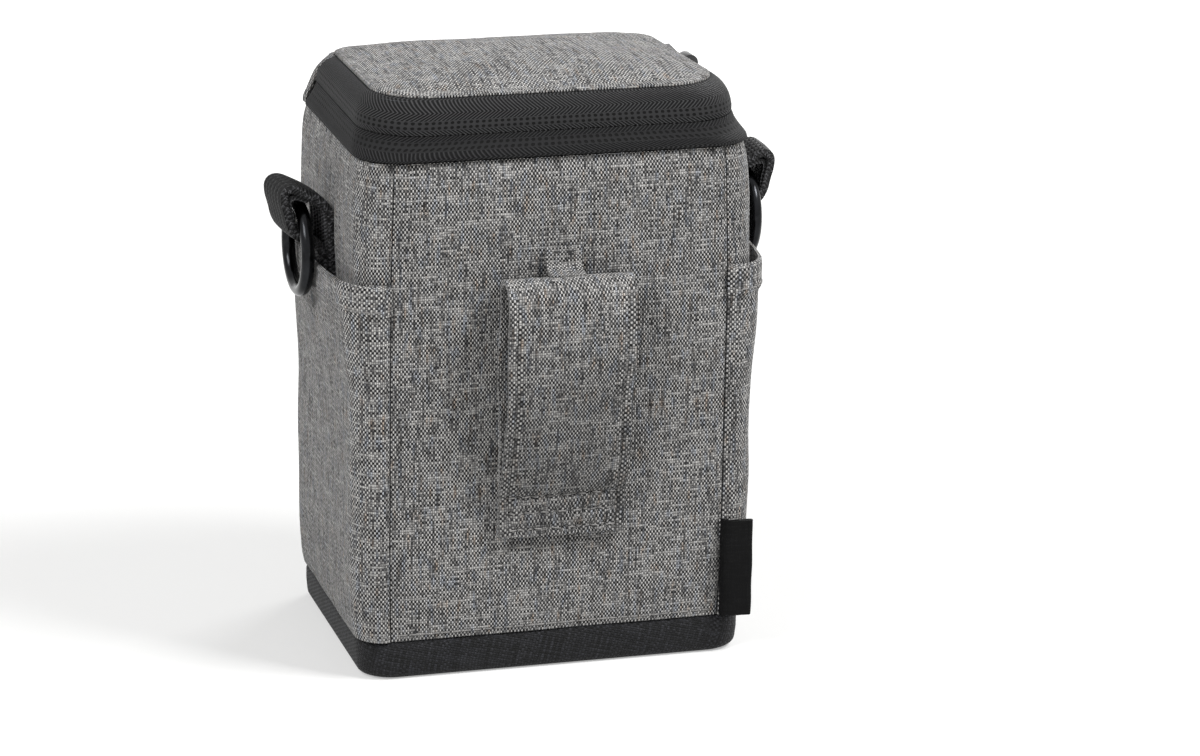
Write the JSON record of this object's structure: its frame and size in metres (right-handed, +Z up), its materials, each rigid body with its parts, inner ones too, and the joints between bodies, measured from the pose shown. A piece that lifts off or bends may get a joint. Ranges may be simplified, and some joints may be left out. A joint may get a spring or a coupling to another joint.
{
  "type": "camera belt pouch",
  "caption": "Padded grey fabric pouch with a zipped hinged lid, rear belt loop, side slip pockets and strap rings in webbing loops.",
  "frame": {"origin": "middle of the base, on the ground", "axes": "+Z up, the belt-loop side faces -Y, the lid hinges at the +Y side, +X to the right as seen from the belt-loop side"},
  "size_m": [0.1492, 0.1009, 0.1771],
  "materials": {
    "heather_fabric": "heather-grey plain-weave polyester, matt with slubs",
    "black_fabric": "black coarse ballistic weave",
    "zip_tape": "charcoal herringbone zip tape",
    "zip_coil": "black nylon coil",
    "lining_fabric": "smooth grey nylon lining",
    "foam": "closed-cell foam padding",
    "board": "black stiffener sheet",
    "webbing": "black ribbed polypropylene webbing",
    "gunmetal": "glossy gunmetal-black plated wire",
    "slider_black": "glossy black lacquered die casting"
  },
  "bodies": {
    "body": {"base_cover": "black_fabric", "base_board": "board", "base_foam": "foam", "back_panel": "heather_fabric", "front_panel": "heather_fabric", "left_side_panel": "heather_fabric", "right_side_panel": "heather_fabric", "back_foam": "foam", "front_foam": "foam", "left_side_foam": "foam", "right_side_foam": "foam", "compartment_lining": "lining_fabric", "left_slip_pocket": "heather_fabric", "right_slip_pocket": "heather_fabric", "lower_zip_tape": "zip_tape", "lower_zip_coil": "zip_coil", "body_hinge_strip": "heather_fabric", "belt_loop": "heather_fabric", "anchor_tab": "heather_fabric", "label_tab": "black_fabric", "left_webbing_loop": "webbing", "right_webbing_loop": "webbing"},
    "lid": {"lid_panel": "heather_fabric", "lid_foam": "foam", "lid_lining": "lining_fabric", "upper_zip_tape": "zip_tape", "upper_zip_coil": "zip_coil", "lid_hinge_strip": "heather_fabric"},
    "slider": {"zip_slider": "slider_black"},
    "puller": {"zip_puller": "slider_black"},
    "left_swing": {"left_ring": "gunmetal"},
    "right_swing": {"right_ring": "gunmetal"}
  },
  "joints": [
    {"name": "lid_hinge", "type": "hinge", "parent": "body", "child": "lid", "pos_m": [0, 0.0405, 0.1637], "axis": [-1, 0, 0], "range_deg": [0, 110]},
    {"name": "slider_travel", "type": "slide", "parent": "body", "child": "slider", "axis": [0.0228, -0.9994, -0.0252], "range_m": [0, 0.042]},
    {"name": "puller_flip", "type": "hinge", "parent": "slider", "child": "puller", "pos_m": [0.06012, 0.02761, 0.16406], "axis": [0.0228, -0.9994, -0.0252], "range_deg": [0, 165]},
    {"name": "left_ring_swing", "type": "hinge", "parent": "body", "child": "left_swing", "pos_m": [-0.06807, -0.003, 0.1317], "axis": [0, 1, 0], "range_deg": [0, 100]},
    {"name": "right_ring_swing", "type": "hinge", "parent": "body", "child": "right_swing", "pos_m": [0.06807, -0.003, 0.1347], "axis": [0, -1, 0], "range_deg": [0, 100]}
  ]
}
